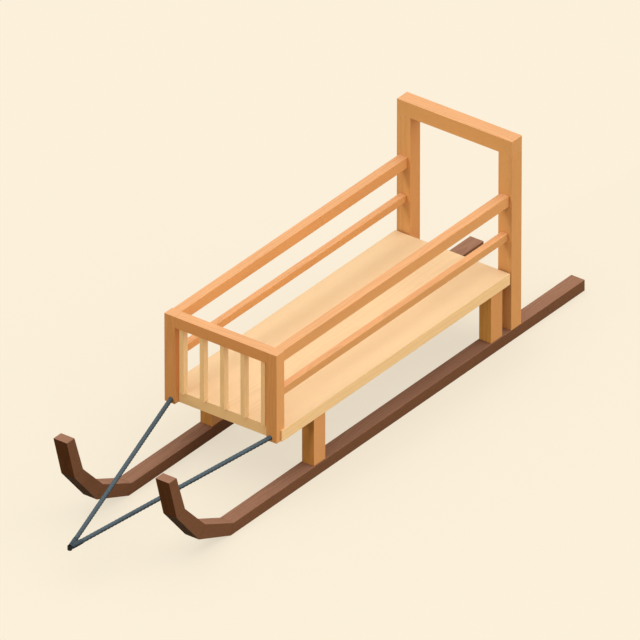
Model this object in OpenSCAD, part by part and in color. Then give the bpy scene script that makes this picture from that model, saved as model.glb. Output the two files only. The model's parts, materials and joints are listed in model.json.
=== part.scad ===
// Wooden dog sled: an open basket on two runners, with a rear handle bow and a front rope bridle.
// +Z is up, the sled runs towards -Y, +X is its left side. The origin is on the ground under the
// middle of the whole sled.

/* [Runners] */
// Distance between the centre lines of the two runners, which every side piece stands on
gauge = 510; // [440:10:600]
// Width of a runner's sole
runner_w = 68; // [50:1:80]
// Height of a runner's straight run
runner_h = 51; // [40:1:60]
// How far behind the origin the runners end
runner_tail_y = 1535; // [1300:5:1700]
// How far in front of the origin the runners start to turn up
runner_bend_y = 845; // [700:5:900]

/* [Stanchions] */
// Width of a stanchion across the sled
stanchion_w = 60; // [40:1:66]
// Depth of a stanchion along the sled
stanchion_d = 76; // [50:1:90]
// Height of a crosspiece between two stanchions
crosspiece_h = 51; // [30:1:60]
// Depth of a crosspiece along the sled
crosspiece_d = 50; // [30:1:60]

/* [Bed] */
// Width of the bed board
bed_w = 578; // [570:1:660]
// Length of the bed board
bed_l = 1530; // [1300:10:1600]
// Height of the bed board's top face above the ground
bed_top_z = 323; // [280:1:400]
// Thickness of the bed board
bed_t = 51; // [30:1:60]
// How far behind the origin the middle of the bed lies
bed_mid_y = 260; // [230:5:290]

/* [Basket] */
// Thickness of a front corner post and of the front rail between the posts
post_t = 51; // [40:1:58]
// Height of the basket's top above the ground
basket_top_z = 680; // [560:5:760]
// Width of a top side rail
top_rail_w = 42; // [30:1:50]
// Height of a top side rail
top_rail_h = 51; // [36:1:56]
// Width of a lower side rail
lower_rail_w = 31; // [24:1:40]
// Height of a lower side rail
lower_rail_h = 34; // [24:1:40]
// Height of a lower side rail's top above the ground
lower_rail_top_z = 501; // [460:1:520]
// Number of slats that close the front of the basket
slat_count = 5; // [3:1:6]
// Width of a slat
slat_w = 21; // [15:1:30]
// Depth of a slat along the sled
slat_d = 30; // [20:1:40]

/* [Handle bow] */
// Thickness of the two uprights and of the handlebar
bow_t = 68; // [50:1:80]
// Height of the handlebar's top above the ground
bow_top_z = 935; // [850:5:1050]
// Gap between the bed board and the bow
bow_gap = 8.5; // [5:0.5:15]
// Height of the crosspiece between the uprights
bow_crosspiece_h = 42; // [30:1:50]
// Depth of the crosspiece between the uprights
bow_crosspiece_d = 40; // [30:1:50]

/* [Bridle] */
// Diameter of a tow line
line_d = 20; // [12:1:20]
// Height at which a tow line goes into its corner post
line_z = 293; // [285:1:310]
// How far in front of the origin the two tow lines meet
tow_y = 1525; // [1450:5:1600]
// Height of the point where the tow lines meet
tow_z = 170; // [120:5:250]
// Diameter of the hole in the tow eye
eye_bore_d = 10; // [8:1:11]
// Outer diameter of the tow eye
eye_d = 20; // [18:1:26]
// Height of the tow eye
eye_h = 20; // [14:1:24]
// Outer diameter of the two sleeves that hold the tow lines
sleeve_d = 24; // [22:1:26]

/* [Hidden] */
$fn = 48;

// The two sides: [name, sign of X].
SIDES = [["left", 1], ["right", -1]];

// The runner's upturn, from the straight run to the tip:
// [sole forward of the bend, sole height, mitre backwards, mitre upwards], the mitres in runner heights.
UPTURN = [
    [0, 0, 1/3, 1],
    [212.5, 85, 5/6, 1],
    [357, 255, 13/12, 1/3],
    [408, 442, 1, 0]
];

// The stanchions and crosspieces: [name, distance from the middle of the bed].
STATIONS = [["front", -510], ["rear", 680]];

FRAME_WOOD = "#DB9759";
DECK_WOOD = "#F3C68E";
RUNNER_WOOD = "#74492F";
ROPE = "#55646E";
STEEL = "#1E2226";

side_x = gauge / 2;
bed_bottom_z = bed_top_z - bed_t;
bed_front_y = bed_mid_y - bed_l / 2;
bed_rear_y = bed_mid_y + bed_l / 2;
bow_front_y = bed_rear_y + bow_gap;
bow_mid_y = bow_front_y + bow_t / 2;
rail_y = [bed_front_y + post_t / 2, bow_front_y];

slat_pitch = gauge / slat_count;

// Where a tow line starts, in the middle of its corner post, and where the two lines meet.
function line_start(side) = [side * side_x, bed_front_y, line_z];
tow_point = [0, -tow_y, tow_z];
// Distances from the meeting point: a sleeve starts inside the eye's wall, holds the end of its line
// and ends a little further back.
sleeve_start = (eye_bore_d + eye_d) / 4;
line_end = 42;
sleeve_end = 62;

// Low and high ends of a span of the given width about a centre.
function span(centre, width) = [centre - width / 2, centre + width / 2];

// A squared timber between three [low, high] spans.
module timber(x, y, z) {
    translate([x[0], y[0], z[0]])
        cube([x[1] - x[0], y[1] - y[0], z[1] - z[0]]);
}

// A round bar from point a to point b.
module bar(a, b, d) {
    reach = b - a;
    translate(a)
        rotate([0, acos(reach[2] / norm(reach)), atan2(reach[1], reach[0])])
            cylinder(h = norm(reach), d = d);
}

// The point on one side's tow line that is the given distance from the meeting point.
function along_line(side, distance) =
    let (reach = line_start(side) - tow_point)
    tow_point + distance * reach / norm(reach);

// One runner: a straight run with a mitred upturn, drawn in the YZ plane and given its width.
module runner(side) {
    sole = [for (u = UPTURN) [-runner_bend_y - u[0], u[1]]];
    top = [for (u = UPTURN) [-runner_bend_y - u[0] + u[2] * runner_h, u[1] + u[3] * runner_h]];
    tail = [[runner_tail_y, runner_h], [runner_tail_y, 0]];
    color(RUNNER_WOOD)
        translate([side * side_x, 0, 0])
            rotate([90, 0, 90])
                linear_extrude(runner_w, center = true)
                    polygon(concat(sole, [for (i = [len(top) - 1:-1:0]) top[i]], tail));
}

// One leg from a runner to the bed.
module stanchion(side, y) {
    color(FRAME_WOOD)
        timber(span(side * side_x, stanchion_w), span(y, stanchion_d), [runner_h, bed_bottom_z]);
}

// A beam under the bed between two stanchions.
module crosspiece(y) {
    color(FRAME_WOOD)
        timber(span(0, gauge - stanchion_w), span(y, crosspiece_d),
               [bed_bottom_z - crosspiece_h, bed_bottom_z]);
}

// The bed board, notched for the front corner posts.
module bed() {
    color(DECK_WOOD)
        difference() {
            timber(span(0, bed_w), [bed_front_y, bed_rear_y], [bed_bottom_z, bed_top_z]);
            for (e = SIDES)
                post_block(e[1], [bed_bottom_z - 1, bed_top_z + 1]);
        }
}

// The square section of a front corner post over a span of height.
module post_block(side, z) {
    timber(span(side * side_x, post_t), span(bed_front_y, post_t), z);
}

// A front corner post, with a blind hole for its tow line.
module corner_post(side) {
    color(FRAME_WOOD)
        difference() {
            post_block(side, [bed_bottom_z, basket_top_z]);
            tow_rope(side);
        }
}

// The rail between the two front corner posts.
module front_rail() {
    color(FRAME_WOOD)
        timber(span(0, gauge - post_t), span(bed_front_y, post_t), [basket_top_z - post_t, basket_top_z]);
}

// One upright slat of the basket's front, counted from the right.
module slat(k) {
    color(DECK_WOOD)
        timber(span((k - (slat_count + 1) / 2) * slat_pitch, slat_w), span(bed_front_y, slat_d),
               [bed_top_z, basket_top_z - post_t]);
}

// A side rail from the corner post to the bow.
module side_rail(side, w, h, top_z) {
    color(FRAME_WOOD)
        timber(span(side * side_x, w), rail_y, [top_z - h, top_z]);
}

// One upright of the handle bow, standing on its runner.
module upright(side) {
    color(FRAME_WOOD)
        timber(span(side * side_x, bow_t), span(bow_mid_y, bow_t), [runner_h, bow_top_z - bow_t]);
}

// The bar across the top of the two uprights.
module handlebar() {
    color(FRAME_WOOD)
        timber(span(0, gauge + bow_t), span(bow_mid_y, bow_t), [bow_top_z - bow_t, bow_top_z]);
}

// The beam low between the two uprights.
module crosspiece_bow() {
    color(FRAME_WOOD)
        timber(span(0, gauge - bow_t), span(bow_mid_y, bow_crosspiece_d),
               [bed_bottom_z - crosspiece_h, bed_bottom_z - crosspiece_h + bow_crosspiece_h]);
}

// The rope of one tow line, from inside its corner post into its sleeve.
module tow_rope(side) {
    color(ROPE)
        bar(line_start(side), along_line(side, line_end), line_d);
}

// The eye at the tip of the bridle, with a sleeve for each tow line.
module tow_eye() {
    color(STEEL)
        difference() {
            union() {
                translate(tow_point)
                    cylinder(h = eye_h, d = eye_d, center = true);
                for (e = SIDES)
                    bar(along_line(e[1], sleeve_start), along_line(e[1], sleeve_end), sleeve_d);
            }
            translate(tow_point)
                cylinder(h = 2 * eye_h, d = eye_bore_d, center = true);
            for (e = SIDES)
                tow_rope(e[1]);
        }
}

bed();
crosspiece_bow();
front_rail();
handlebar();
tow_eye();

for (s = STATIONS) {
    y = bed_mid_y + s[1];
    crosspiece(y);
    for (e = SIDES)
        stanchion(e[1], y);
}

for (k = [1:slat_count])
    slat(k);

for (e = SIDES) {
    name = e[0];
    side = e[1];
    runner(side);
    corner_post(side);
    side_rail(side, top_rail_w, top_rail_h, basket_top_z);
    side_rail(side, lower_rail_w, lower_rail_h, lower_rail_top_z);
    upright(side);
    tow_rope(side);
}
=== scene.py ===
"""A wooden dog sled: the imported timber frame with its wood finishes, a laid-rope bridle and a tow ring."""

import json
import math

import bmesh
import bpy
from mathutils import Matrix, Vector


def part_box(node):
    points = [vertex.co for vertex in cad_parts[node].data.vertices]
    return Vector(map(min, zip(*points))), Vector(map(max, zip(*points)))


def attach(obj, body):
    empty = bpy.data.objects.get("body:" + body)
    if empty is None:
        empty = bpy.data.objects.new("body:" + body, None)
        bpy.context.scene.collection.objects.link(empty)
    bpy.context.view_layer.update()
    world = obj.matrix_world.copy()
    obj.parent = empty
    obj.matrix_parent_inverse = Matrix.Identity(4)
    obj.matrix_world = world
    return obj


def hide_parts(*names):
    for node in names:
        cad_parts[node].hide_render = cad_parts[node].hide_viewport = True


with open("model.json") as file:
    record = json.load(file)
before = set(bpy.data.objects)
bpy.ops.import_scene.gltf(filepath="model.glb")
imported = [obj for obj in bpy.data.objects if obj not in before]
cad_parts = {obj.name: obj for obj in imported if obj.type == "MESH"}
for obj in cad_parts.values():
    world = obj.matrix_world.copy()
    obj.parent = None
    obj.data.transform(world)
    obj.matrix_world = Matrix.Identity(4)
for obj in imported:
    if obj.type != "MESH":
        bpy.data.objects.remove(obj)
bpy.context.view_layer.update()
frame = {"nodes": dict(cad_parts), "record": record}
scene = bpy.context.scene

# ---------------------------------------------------------------- camera

# The sled is seen square to the direction (3, -4, 3) from so far away that its edges look parallel.
CAMERA_BACK = Vector((3, -4, 3)).normalized()
CAMERA_RIGHT = Vector((4, 3, 0)).normalized()
CAMERA_UP = CAMERA_BACK.cross(CAMERA_RIGHT)
CAMERA_TARGET = Vector((-0.0015, 0.1343, 0.4285))
CAMERA_WIDTH = 2.568
LENS = 1500.0
SENSOR = 36.0


def make_camera():
    data = bpy.data.cameras.new("camera")
    data.lens = LENS
    data.sensor_width = SENSOR
    distance = CAMERA_WIDTH * LENS / SENSOR
    data.clip_start = 1.0
    data.clip_end = 4 * distance
    camera = bpy.data.objects.new("camera", data)
    axes = Matrix((CAMERA_RIGHT, CAMERA_UP, CAMERA_BACK)).transposed()
    camera.matrix_world = Matrix.Translation(CAMERA_TARGET + CAMERA_BACK * distance) @ axes.to_4x4()
    scene.collection.objects.link(camera)
    scene.camera = camera


# ---------------------------------------------------------------- material nodes


class Tree:
    """A material's node tree, with short calls for the nodes that the finishes use."""

    def __init__(self, name):
        self.material = bpy.data.materials.new(name)
        self.material.use_nodes = True
        self.tree = self.material.node_tree
        self.tree.nodes.clear()
        self.shader = self.add("ShaderNodeBsdfPrincipled")
        self.output = self.add("ShaderNodeOutputMaterial")
        self.link(self.shader.outputs[0], self.output.inputs["Surface"])

    def add(self, kind, **settings):
        node = self.tree.nodes.new(kind)
        for name, value in settings.items():
            setattr(node, name, value)
        return node

    def link(self, source, target):
        self.tree.links.new(source, target)

    def put(self, value, socket):
        """Links a socket, or sets a plain value."""
        if isinstance(value, bpy.types.NodeSocket):
            self.link(value, socket)
        elif value is not None:
            socket.default_value = value

    def math(self, operation, a, b=None, c=None):
        node = self.add("ShaderNodeMath", operation=operation)
        for value, socket in zip((a, b, c), node.inputs):
            self.put(value, socket)
        return node.outputs[0]

    def product(self, first, *others):
        for other in others:
            first = self.math("MULTIPLY", first, other)
        return first

    def linear(self, value, slope, offset):
        """slope times value, plus offset."""
        return self.math("MULTIPLY_ADD", value, slope, offset)

    def vary(self, value, strength):
        """A shade round 1 that follows a value round 0.5."""
        return self.linear(self.math("SUBTRACT", value, 0.5), strength, 1.0)

    def choose(self, share, a, b):
        """a where share is 1, and b where it is 0."""
        rest = self.math("SUBTRACT", 1.0, share)
        return self.math("ADD", self.product(share, a), self.product(rest, b))

    def split(self, vector):
        node = self.add("ShaderNodeSeparateXYZ")
        self.link(vector, node.inputs[0])
        return node.outputs[:3]

    def join(self, x, y, z):
        node = self.add("ShaderNodeCombineXYZ")
        for value, socket in zip((x, y, z), node.inputs):
            self.put(value, socket)
        return node.outputs[0]

    def scaled(self, coordinates, factors):
        """A vector of the coordinates, each times its factor."""
        return self.join(*(self.product(c, factor) for c, factor in zip(coordinates, factors)))

    def mix(self, share, a, b, blend="MIX"):
        node = self.add("ShaderNodeMix", data_type="RGBA", blend_type=blend)
        self.put(share, node.inputs[0])
        self.put(opaque(a), node.inputs[6])
        self.put(opaque(b), node.inputs[7])
        return node.outputs[2]

    def noise(self, vector, scale, detail=2.0, roughness=0.5):
        node = self.add("ShaderNodeTexNoise")
        self.link(vector, node.inputs["Vector"])
        node.inputs["Scale"].default_value = scale
        node.inputs["Detail"].default_value = detail
        node.inputs["Roughness"].default_value = roughness
        return node.outputs[0]

    def step(self, value, low, high, to_low=0.0, to_high=1.0):
        """A smooth ramp of value from low to high."""
        node = self.add("ShaderNodeMapRange", interpolation_type="SMOOTHSTEP")
        for given, socket in zip((value, low, high, to_low, to_high), node.inputs):
            self.put(given, socket)
        return node.outputs[0]

    def position(self):
        return self.add("ShaderNodeTexCoord").outputs["Object"]

    def normal(self):
        return self.add("ShaderNodeNewGeometry").outputs["Normal"]

    def bump(self, height, distance, strength):
        node = self.add("ShaderNodeBump")
        node.inputs["Strength"].default_value = strength
        node.inputs["Distance"].default_value = distance
        self.link(height, node.inputs["Height"])
        self.link(node.outputs[0], self.shader.inputs["Normal"])


def opaque(color):
    """The colour with an alpha of 1, or the socket as it is."""
    return (*color, 1.0) if isinstance(color, tuple) else color


def srgb(code):
    """A colour written as #RRGGBB, as linear numbers."""
    values = [int(code[i:i + 2], 16) / 255 for i in (1, 3, 5)]
    return tuple(v / 12.92 if v <= 0.04045 else ((v + 0.055) / 1.055) ** 2.4 for v in values)


# ---------------------------------------------------------------- wood

# Each wood: its colour on faces that look sideways, up, forward and down, the strength of its growth
# rings, fibres, pores and blotches, the spacing of its rings in metres, its roughness and its shine.
# The face colours are painted light and shade: each is the tone that way of facing shows under one lighting,
# so forward and down faces are painted darker.
WOODS = {
    "frame_wood": dict(
        side="#E2A464", up="#E1A672", front="#D79D5C", down="#C98B50",
        rings=0.08, fibres=0.06, pores=0.08, blotches=0.10, spacing=0.007, roughness=0.60, shine=0.25),
    "deck_wood": dict(
        side="#FFD79C", up="#F2D0A1", front="#E9BE80", down="#D9AE74",
        rings=0.045, fibres=0.035, pores=0.05, blotches=0.02, spacing=0.009, roughness=0.62, shine=0.25),
    "runner_wood": dict(
        side="#7B543B", up="#976F58", front="#512F16", down="#3A2413",
        rings=0.12, fibres=0.12, pores=0.14, blotches=0.16, spacing=0.006, roughness=0.75, shine=0.03),
}
FACES = ("side", "up", "front", "down")

# Painted shade and light on some timbers: how much darker or paler their faces are painted than their kind,
# by the start of their names and the way the face looks, as shares of red, green and blue. It stands for
# shade and light that fall on those faces, such as the shade under the bed on the front legs.
PAINTED_TIMBER_SHADES = {
    "corner_post": dict(front=(0.87, 0.75, 0.63), side=(1.08, 1.05, 1.02)),
    "front_rail": dict(front=(0.89, 0.75, 0.62)),
    "stanchion_front": dict(front=(0.71, 0.61, 0.36), side=(0.98, 0.94, 0.93)),
    "stanchion_rear": dict(front=(1.32, 1.32, 0.94), side=(0.93, 0.88, 0.81)),
    "upright": dict(side=(0.97, 0.94, 0.88)),
    "top_rail": dict(side=(1.05, 1.02, 1.02)),
    "lower_rail": dict(up=(1.15, 1.15, 1.12)),
    "slat": dict(side=(0.98, 1.03, 1.12)),
}

# The mitres of a runner's upturn, from the straight run to the tip, each by its point on the sole side
# and its point on the top side: forward of the bend and up, in metres.
MITRES = (
    ((0.0, 0.0), (-0.017, 0.051)),
    ((0.2125, 0.085), (0.170, 0.136)),
    ((0.357, 0.255), (0.30175, 0.272)),
    ((0.408, 0.442), (0.357, 0.442)),
)
# Half the width of a glue line where it is dark and where it has faded out, and how dark it is.
GLUE_LINE = (0.0003, 0.0012)
GLUE_SHADE = 0.45

# The figure's density across, along and through a timber, and the scale of its noise.
WANDER_DENSITY, WANDER_SCALE = (3.0, 0.8, 1.0), 2.2
FIBRE_DENSITY, FIBRE_SCALE = (260.0, 9.0, 260.0), 1.0
PORE_DENSITY, PORE_SCALE = (700.0, 45.0, 700.0), 1.0
BLOTCH_DENSITY, BLOTCH_SCALE = (1.0, 0.35, 1.0), 9.0
# How far the figure of each timber is moved along from the one before.
SEED_SHIFT = 1.37
# The pith of the growth rings: how far beside the timber's middle and how deep it lies, how much the
# depth differs between timbers, and how far the rings wander, all in metres.
PITH_BESIDE = 0.05
PITH_DEPTH = 0.11
PITH_SPREAD = 0.03
RING_WANDER = 0.035
# Darker figure is also redder: green and blue fall a little faster than red.
GREEN_FALL = 1.15
BLUE_FALL = 1.35
# Where in a ring its late wood starts and ends, and the noise from which a pore starts and is full.
LATE_START = (0.15, 0.85)
LATE_END = (0.88, 1.0)
PORE_EDGE = (0.62, 0.74)
# How much the roughness varies with the fibres, and how much the pores add to it.
FIBRE_ROUGHNESS = 0.16
PORE_ROUGHNESS = 0.1
# The depth of the figure in metres, and how strongly it shows in the light.
FIGURE_DEPTH = 0.0004
FIGURE_STRENGTH = 0.7
# The share of a face's normal from which its face colour, which is painted light and shade, starts, and
# where it is full.
FACE_TURN = (0.35, 0.95)
DOWN_TURN = (0.20, 0.60)

# Worn edges: their width, and the least angle of an edge that wears.
EDGE_WEAR = 0.0016
EDGE_ANGLE = math.radians(15)
WELD_DISTANCE = 1e-5


def straight_grain(t, box):
    """Coordinates across, along and through a straight timber, from its middle, and no glue lines."""
    centre = (box[0] + box[1]) / 2
    size = box[1] - box[0]
    long_axis = max((0, 1, 2), key=lambda axis: size[axis])
    across, through = [axis for axis in (0, 1, 2) if axis != long_axis]
    position = t.split(t.position())
    u, v, w = (t.math("SUBTRACT", position[axis], centre[axis]) for axis in (across, long_axis, through))
    return u, v, w, None


def mitred_grain(t, box):
    """The same for a runner, whose grain turns at each mitre of its upturn, and its glue lines' mask."""
    x, y, z = t.split(t.position())
    bend_y = box[0].y + MITRES[-1][0][0]
    forward = t.math("SUBTRACT", bend_y, y)
    u = t.math("SUBTRACT", x, (box[0].x + box[1].x) / 2)
    v = forward
    w = z
    glue = 0.0
    reach = 0.0
    for (sole, top), (next_sole, _) in zip(MITRES, MITRES[1:]):
        run, rise = next_sole[0] - sole[0], next_sole[1] - sole[1]
        length = math.hypot(run, rise)
        run, rise = run / length, rise / length
        ahead = t.math("SUBTRACT", forward, sole[0])
        above = t.math("SUBTRACT", z, sole[1])
        along = t.math("ADD", t.linear(ahead, run, t.product(above, rise)), reach)
        through = t.linear(ahead, -rise, t.product(above, run))
        # How far a point is past the mitre's own plane, from its sole point to its top point.
        square_run, square_rise = top[1] - sole[1], sole[0] - top[0]
        size = math.hypot(square_run, square_rise)
        past = t.linear(ahead, square_run / size, t.product(above, square_rise / size))
        here = t.math("GREATER_THAN", past, 0.0)
        v = t.choose(here, along, v)
        w = t.choose(here, through, w)
        glue = t.math("MAXIMUM", glue, t.step(t.math("ABSOLUTE", past), *GLUE_LINE, 1.0, 0.0))
        reach += length
    return u, v, w, glue


def face_colors(name, kind):
    """The linear colours of a timber's faces, with their painted shade and light."""
    colors = {face: srgb(WOODS[kind][face]) for face in FACES}
    for start, face_shades in PAINTED_TIMBER_SHADES.items():
        if name.startswith(start):
            for face, painted_share in face_shades.items():
                colors[face] = tuple(min(1.0, c * share) for c, share in zip(colors[face], painted_share))
    return colors


def color_by_face(t, colors):
    """Blends the face colours, which are painted light and shade, by the way the surface looks."""
    _, ny, nz = t.split(t.normal())
    color = t.mix(t.step(nz, *FACE_TURN), colors["side"], colors["up"])
    color = t.mix(t.step(t.product(ny, -1.0), *FACE_TURN), color, colors["front"])
    return t.mix(t.step(t.product(nz, -1.0), *DOWN_TURN), color, colors["down"])


def late_wood(t, u, v, w, seed, spacing):
    """The dark part of growth rings, about a pith that lies beside the timber and wanders along it."""
    wander = t.noise(t.scaled((u, v, w), WANDER_DENSITY), WANDER_SCALE, 3.0)
    beside = t.math("SUBTRACT", u, PITH_BESIDE * math.sin(seed * 2.1))
    deep = t.math("SUBTRACT", w, PITH_DEPTH + PITH_SPREAD * math.cos(seed * 1.7))
    radius = t.math("SQRT", t.math("ADD", t.product(beside, beside), t.product(deep, deep)))
    radius = t.linear(wander, RING_WANDER, radius)
    phase = t.math("FRACT", t.math("DIVIDE", radius, spacing))
    return t.product(t.step(phase, *LATE_START), t.step(phase, *LATE_END, 1.0, 0.0))


def wood(name, kind, box, seed, grain):
    """The finish of one timber. grain gives its coordinates across, along and through, in metres."""
    look = WOODS[kind]
    t = Tree(name)
    u, v, w, glue = grain(t, box)
    v = t.math("ADD", v, seed * SEED_SHIFT)

    # Growth rings, long fibres, short pores that follow them, and wide blotches.
    late = late_wood(t, u, v, w, seed, look["spacing"])
    fibres = t.noise(t.scaled((u, v, w), FIBRE_DENSITY), FIBRE_SCALE, 3.0, 0.6)
    pores = t.step(t.noise(t.scaled((u, v, w), PORE_DENSITY), PORE_SCALE, 1.0), *PORE_EDGE)
    blotches = t.noise(t.scaled((u, v, w), BLOTCH_DENSITY), BLOTCH_SCALE)

    ring_shade = t.linear(late, -look["rings"], 1.0 + look["rings"] * 0.4)
    fibre_shade = t.vary(fibres, 2 * look["fibres"])
    blotch_shade = t.vary(blotches, look["blotches"])
    pore_shade = t.linear(pores, -look["pores"], 1.0)
    shade = t.product(ring_shade, fibre_shade, blotch_shade, pore_shade)
    if glue is not None:
        shade = t.product(shade, t.linear(glue, -GLUE_SHADE, 1.0))
    tint = t.join(shade, t.math("POWER", shade, GREEN_FALL), t.math("POWER", shade, BLUE_FALL))
    color = color_by_face(t, face_colors(name, kind))
    t.link(t.mix(1.0, color, tint, "MULTIPLY"), t.shader.inputs["Base Color"])

    t.shader.inputs["Specular IOR Level"].default_value = look["shine"]
    roughness = t.linear(fibres, FIBRE_ROUGHNESS, look["roughness"] - FIBRE_ROUGHNESS / 2)
    t.link(t.linear(pores, PORE_ROUGHNESS, roughness), t.shader.inputs["Roughness"])
    t.bump(t.linear(late, 0.35, t.linear(pores, -1.0, fibres)), FIGURE_DEPTH, FIGURE_STRENGTH)
    return t.material


def wear_edges(piece):
    """Rounds a timber's sharp edges a little, after its faces are welded together."""
    weld = piece.modifiers.new("weld", "WELD")
    weld.merge_threshold = WELD_DISTANCE
    edge = piece.modifiers.new("worn_edges", "BEVEL")
    edge.width = EDGE_WEAR
    edge.segments = 2
    edge.limit_method = "ANGLE"
    edge.angle_limit = EDGE_ANGLE


def finish_timbers():
    """Gives every packed timber its own wood, grain along its length, and worn edges."""
    slots = {row["node"]: row["material_slot"] for row in frame["record"]["subparts"]}
    for seed, (node, piece) in enumerate(sorted(frame["nodes"].items()), 1):
        kind = slots[node]
        if kind not in WOODS:
            continue
        grain = mitred_grain if node.startswith("runner") else straight_grain
        piece.data.materials.clear()
        piece.data.materials.append(wood(f"{node}_{kind}", kind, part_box(node), seed, grain))
        wear_edges(piece)


# ---------------------------------------------------------------- bridle

MOUNTS = {mount["name"]: mount for mount in frame["record"]["mounts"]}
TOW_POINT = Vector(MOUNTS["tow_eye_bore"]["pos_m"])
EYE_BORE = MOUNTS["tow_eye_bore"]["dims"]["r_mm"] / 1000
EYE_HEIGHT = MOUNTS["tow_eye_bore"]["dims"]["length_mm"] / 1000
# The eye's outer radius and how far its rims are rounded, and the height at which the lines go into the
# posts, in metres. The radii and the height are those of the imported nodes.
EYE_RADIUS = 0.010
EYE_RIM = 0.002
LINE_HEIGHT = 0.293
LINE_RADIUS = 0.010
# Each tow line is three strands, pressed together, that turn round each other once in LAY_LENGTH.
STRANDS = 3
STRAND_RADIUS = 0.0071
LAY_LENGTH = 0.055
STEPS_PER_LAY = 20
STRAND_SIDES = 10
# The twine's thickness, how far the hollows between its turns stand off the rope, and how finely its
# turns are modelled along and around the rope.
TWINE = 0.0015
TWINE_HOLLOW = 0.0002
TWINE_STEPS = 6
WHIPPING_SIDES = 24
SEIZING_HALF_SIDES = 14
# A winding starts this much thinner and grows over this length, and the seizing lies over the whippings.
TAPER_DEPTH = 0.002
TAPER_LENGTH = 0.004
SEIZING_CLEARANCE = 0.0004
# Distances back from the tow point: the seizing round both lines starts behind the ring and ends where
# they part, each line's own whipping ends further back, and its strands end inside the seizing.
SEIZING_START = 0.0075
SEIZING_END = 0.046
WHIPPING_END = 0.062
STRANDS_END = 0.030
RING_SIDES = 48

# Yarns round a strand, their turns in one lay, and how strongly they and the rope's fuzz and wear show.
YARNS = 5.0
YARN_TURNS = 2.0
YARN_CONTRAST = 0.4
FUZZ_CONTRAST = 0.5
WEAR_CONTRAST = 0.4
# A rope is painted darker below and a little paler above, as painted shade and light: heights from its
# middle in metres, and its painted shade at each.
PAINTED_SHADE_HEIGHTS = (-0.004, 0.006)
PAINTED_SHADES = (0.22, 1.1)

ROPE = srgb("#4E5C64")
TWINE_COLOR = srgb("#4A5860")
STEEL = srgb("#101214")
WORN_STEEL = srgb("#1D2023")


def line_start(side):
    """The middle of the corner post, where a tow line's strands start inside its hole."""
    low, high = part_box(f"corner_post_{side}")
    return Vector(((low.x + high.x) / 2, (low.y + high.y) / 2, LINE_HEIGHT))


# How fast a tow line climbs from the tow point towards its post.
LINE_RISE = (line_start("left").z - TOW_POINT.z) / (line_start("left").y - TOW_POINT.y)


def piece_from(name, build, material, replaced=()):
    """A mesh piece made by build(bmesh), which rides on the sled and takes the given finish."""
    mesh = bpy.data.meshes.new(name)
    shape = bmesh.new()
    build(shape)
    bmesh.ops.recalc_face_normals(shape, faces=shape.faces)
    for face in shape.faces:
        face.smooth = True
    shape.to_mesh(mesh)
    shape.free()
    mesh.materials.append(material)
    piece = bpy.data.objects.new(name, mesh)
    scene.collection.objects.link(piece)
    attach(piece, "root")
    if replaced:
        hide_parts(*replaced)


def loft(shape, rings, closed=False, u_step=None, v_step=None):
    """Joins rings of points into a skin, with caps at both ends unless the rings close on themselves.

    With u_step and v_step, a UV map named yarn counts up by them around and along the rings.
    """
    uv = shape.loops.layers.uv.get("yarn")
    rows = [[shape.verts.new(point) for point in ring] for ring in rings]
    count = len(rows[0])
    pairs = list(zip(range(len(rows)), range(1, len(rows))))
    if closed:
        pairs.append((len(rows) - 1, 0))
    for i, j in pairs:
        for k in range(count):
            m = (k + 1) % count
            face = shape.faces.new((rows[i][k], rows[i][m], rows[j][m], rows[j][k]))
            if uv is not None:
                for loop, (ring, step) in zip(face.loops, ((i, k), (i, k + 1), (j, k + 1), (j, k))):
                    loop[uv].uv = (step * u_step, ring * v_step)
    if not closed:
        shape.faces.new(reversed(rows[0]))
        shape.faces.new(rows[-1])


def circle(centre, a, b, radius, count):
    """Points round a centre, in the plane of the unit vectors a and b."""
    angles = [2 * math.pi * k / count for k in range(count)]
    return [centre + radius * (math.cos(q) * a + math.sin(q) * b) for q in angles]


def square_to(direction):
    """Two unit vectors square to a direction and to each other."""
    a = direction.cross(Vector((0, 0, 1))).normalized()
    return a, direction.cross(a)


def tow_line(side):
    """Three laid strands from inside the corner post into the seizing at the ring."""
    start = line_start(side)
    reach = TOW_POINT - start
    length = reach.length - STRANDS_END
    way = reach.normalized()
    a, b = square_to(way)
    helix = LINE_RADIUS - STRAND_RADIUS
    steps = round(length / LAY_LENGTH * STEPS_PER_LAY)
    slope = math.atan2(2 * math.pi * helix, LAY_LENGTH)

    def build(shape):
        shape.loops.layers.uv.new("yarn")
        for strand in range(STRANDS):
            rings = []
            for i in range(steps + 1):
                along = length * i / steps
                q = 2 * math.pi * (along / LAY_LENGTH + strand / STRANDS)
                out = math.cos(q) * a + math.sin(q) * b
                round_about = -math.sin(q) * a + math.cos(q) * b
                tangent = math.cos(slope) * way + math.sin(slope) * round_about
                centre = start + along * way + helix * out
                rings.append(circle(centre, out, tangent.cross(out), STRAND_RADIUS, STRAND_SIDES))
            loft(shape, rings, u_step=1 / STRAND_SIDES, v_step=length / steps / LAY_LENGTH)

    material = rope_material(f"laid_rope_{side}", ROPE)
    piece_from(f"tow_rope_{side}", build, material, [f"tow_line_{side}"])


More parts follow.
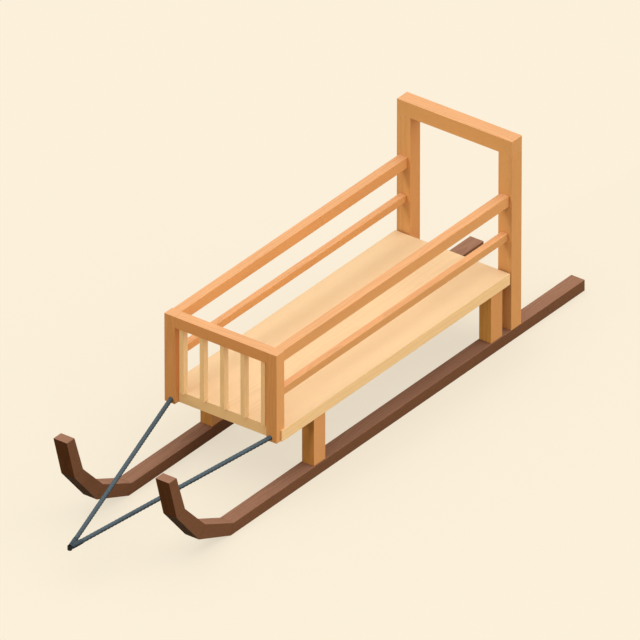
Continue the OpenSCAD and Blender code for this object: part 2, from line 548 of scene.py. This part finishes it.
def rope_material(name, color):
    """Twisted yarn: fine slanted lines along each strand, with painted shade in the creases between yarns,
    with fuzz, and with painted shade below.
    """
    t = Tree(name)
    around, along, _ = t.split(t.add("ShaderNodeUVMap", uv_map="yarn").outputs[0])
    yarns = t.math("FRACT", t.linear(along, YARN_TURNS, t.product(around, YARNS)))
    groove = t.product(t.step(yarns, 0.0, 0.3), t.step(yarns, 0.7, 1.0, 1.0, 0.0))
    fuzz = t.noise(t.position(), 900.0, 3.0, 0.7)
    wear = t.noise(t.position(), 14.0)
    _, y, z = t.split(t.position())
    middle = t.linear(t.math("SUBTRACT", y, TOW_POINT.y), LINE_RISE, TOW_POINT.z)
    height = t.math("SUBTRACT", z, middle)
    # Painted shade in the creases: each yarn is painted darker at its edges than on its crown.
    yarn_crease_shade = t.linear(groove, YARN_CONTRAST * 0.5, 1.0 - YARN_CONTRAST * 0.35)
    painted_underside_shade = t.step(height, *PAINTED_SHADE_HEIGHTS, *PAINTED_SHADES)
    shade = t.product(yarn_crease_shade, t.vary(fuzz, FUZZ_CONTRAST), t.vary(wear, WEAR_CONTRAST), painted_underside_shade)
    t.link(t.mix(1.0, color, t.join(shade, shade, shade), "MULTIPLY"), t.shader.inputs["Base Color"])
    t.shader.inputs["Roughness"].default_value = 0.85
    t.shader.inputs["Specular IOR Level"].default_value = 0.2
    t.bump(t.linear(fuzz, 0.4, groove), 0.0006, 0.8)
    return t.material


def winding_radii(end):
    """Distances along a winding, from SEIZING_START to its end, each with its radius there."""
    samples = round((end - SEIZING_START) / TWINE * TWINE_STEPS)
    radii = []
    for i in range(samples + 1):
        distance = SEIZING_START + (end - SEIZING_START) * i / samples
        turn = 0.5 * TWINE * abs(math.sin(math.pi * distance / TWINE)) + TWINE_HOLLOW
        taper = max(0.0, min(1.0, (end - distance) / TWINE, (distance - SEIZING_START) / TAPER_LENGTH))
        radii.append((distance, LINE_RADIUS + turn - TAPER_DEPTH * (1 - math.sqrt(taper))))
    return radii


def whipping(side):
    """Fine twine wound round the end of one tow line, from the seizing back."""
    way = (line_start(side) - TOW_POINT).normalized()
    a, b = square_to(way)

    def build(shape):
        shape.loops.layers.uv.new("yarn")
        rings = [circle(TOW_POINT + distance * way, a, b, radius, WHIPPING_SIDES)
                 for distance, radius in winding_radii(WHIPPING_END)]
        loft(shape, rings, u_step=1 / WHIPPING_SIDES, v_step=1 / TWINE_STEPS)

    material = rope_material(f"whipping_twine_{side}", TWINE_COLOR)
    piece_from(f"whipping_{side}", build, material)


def seizing():
    """Twine wound round both tow lines together, where they meet behind the ring."""
    ways = [(line_start(side) - TOW_POINT).normalized() for side in ("left", "right")]
    axis = (ways[0] + ways[1]).normalized()
    lateral = Vector((1, 0, 0))
    up = lateral.cross(axis)
    spread = ways[0].x / ways[0].dot(axis)

    def build(shape):
        shape.loops.layers.uv.new("yarn")
        rings = []
        for distance, radius in winding_radii(SEIZING_END):
            ring = []
            for sign in (1, -1):
                hub = TOW_POINT + distance * axis + sign * distance * spread * lateral
                for k in range(SEIZING_HALF_SIDES + 1):
                    q = math.pi * k / SEIZING_HALF_SIDES - math.pi / 2
                    out = sign * (math.cos(q) * lateral + math.sin(q) * up)
                    ring.append(hub + (radius + SEIZING_CLEARANCE) * out)
            rings.append(ring)
        loft(shape, rings, u_step=2 / len(rings[0]), v_step=1 / TWINE_STEPS)

    piece_from("seizing", build, rope_material("seizing_twine", TWINE_COLOR))


def ring_outline():
    """The section of the tow ring's wall, as radius and height, with its four corners rounded."""
    half = EYE_HEIGHT / 2
    turns = [math.pi / 2 * k / 4 for k in range(5)]
    outline = []
    for radius, sign in ((EYE_BORE, -1), (EYE_RADIUS, 1)):
        for level in (-sign, sign):
            corner = []
            for q in turns:
                inset = EYE_RIM * (1 - math.cos(q))
                drop = EYE_RIM * (1 - math.sin(q))
                corner.append((radius - sign * inset, level * (half - drop)))
            outline += corner if level * sign > 0 else corner[::-1]
    return outline


def steel_material():
    t = Tree("dark_steel")
    scratches = t.noise(t.position(), 600.0, 4.0, 0.7)
    wear = t.step(t.noise(t.position(), 90.0, 3.0), 0.45, 0.75)
    t.link(t.mix(wear, STEEL, WORN_STEEL), t.shader.inputs["Base Color"])
    t.shader.inputs["Metallic"].default_value = 0.6
    t.link(t.linear(scratches, 0.3, 0.4), t.shader.inputs["Roughness"])
    t.bump(scratches, 0.0002, 0.5)
    return t.material


def tow_ring():
    """A short steel thimble with rounded rims, in whose hole a shackle or snap goes."""
    outline = ring_outline()

    def build(shape):
        rings = []
        for k in range(RING_SIDES):
            q = 2 * math.pi * k / RING_SIDES
            out = Vector((math.cos(q), math.sin(q), 0))
            rings.append([TOW_POINT + r * out + Vector((0, 0, h)) for r, h in outline])
        loft(shape, rings, closed=True)

    piece_from("tow_ring", build, steel_material(), ["tow_eye"])


def make_bridle():
    for side in ("left", "right"):
        tow_line(side)
        whipping(side)
    seizing()
    tow_ring()


# ---------------------------------------------------------------- light and floor

# The floor and the backdrop as the camera sees them. The sky lights the sled and shows in its gloss.
GROUND = srgb("#FBF0DB")
SKY = (1.0, 0.985, 0.96)
SKY_LEVEL = 0.66
# Each lamp: the way its light travels, its strength, its softness in degrees and its colour.
SUNS = {
    "top": ((0.0, 0.0, -1.0), 1.42, 75, (1.0, 0.99, 0.96)),
    "front": ((0.18, 1.5, -0.36), 0.62, 5, (1.0, 1.0, 1.0)),
    "side": ((-1.0, -0.5, -0.4), 1.1, 80, (1.0, 0.90, 0.78)),
}
FLOOR_RADIUS = 400.0
# The colour that the floor throws back at the sled.
FLOOR_BOUNCE = (0.30, 0.26, 0.20)
# The floor's own paleness under this light, and how much of its look is even tone without shadow.
FLOOR_SHADE = 0.80
FLOOR_GLOW = 0.72


def make_world():
    world = bpy.data.worlds.new("studio")
    world.use_nodes = True
    scene.world = world
    tree = world.node_tree
    tree.nodes.clear()
    output = tree.nodes.new("ShaderNodeOutputWorld")
    seen = tree.nodes.new("ShaderNodeBackground")
    seen.inputs[0].default_value = opaque(GROUND)
    sky = tree.nodes.new("ShaderNodeBackground")
    sky.inputs[0].default_value = opaque(SKY)
    sky.inputs[1].default_value = SKY_LEVEL
    path = tree.nodes.new("ShaderNodeLightPath")
    mix = tree.nodes.new("ShaderNodeMixShader")
    tree.links.new(path.outputs["Is Camera Ray"], mix.inputs[0])
    tree.links.new(sky.outputs[0], mix.inputs[1])
    tree.links.new(seen.outputs[0], mix.inputs[2])
    tree.links.new(mix.outputs[0], output.inputs[0])


def make_lamps():
    for name, (travel, strength, softness, color) in SUNS.items():
        data = bpy.data.lights.new(name, "SUN")
        data.energy = strength
        data.angle = math.radians(softness)
        data.color = color
        lamp = bpy.data.objects.new(name, data)
        lamp.rotation_mode = "QUATERNION"
        lamp.rotation_quaternion = Vector(travel).to_track_quat("-Z", "Y")
        scene.collection.objects.link(lamp)


def floor_material():
    """Takes shadows, looks as pale as the backdrop, and throws back only a little light."""
    t = Tree("floor")
    t.tree.nodes.remove(t.shader)
    path = t.add("ShaderNodeLightPath")
    seen = t.math("MAXIMUM", path.outputs["Is Camera Ray"], path.outputs["Is Glossy Ray"])
    lit = t.add("ShaderNodeBsdfDiffuse")
    t.link(t.mix(seen, FLOOR_BOUNCE, tuple(FLOOR_SHADE * c for c in GROUND)), lit.inputs[0])
    glow = t.add("ShaderNodeEmission")
    glow.inputs[0].default_value = opaque(GROUND)
    share = t.add("ShaderNodeMixShader")
    t.link(t.product(seen, FLOOR_GLOW), share.inputs[0])
    t.link(lit.outputs[0], share.inputs[1])
    t.link(glow.outputs[0], share.inputs[2])
    t.link(share.outputs[0], t.output.inputs["Surface"])
    return t.material


def make_floor():
    mesh = bpy.data.meshes.new("floor")
    shape = bmesh.new()
    bmesh.ops.create_circle(shape, cap_ends=True, segments=64, radius=FLOOR_RADIUS)
    shape.to_mesh(mesh)
    shape.free()
    mesh.materials.append(floor_material())
    floor = bpy.data.objects.new("floor", mesh)
    scene.collection.objects.link(floor)


# ---------------------------------------------------------------- the scene

scene.view_settings.view_transform = "Standard"
make_camera()
make_world()
make_lamps()
make_floor()
finish_timbers()
make_bridle()
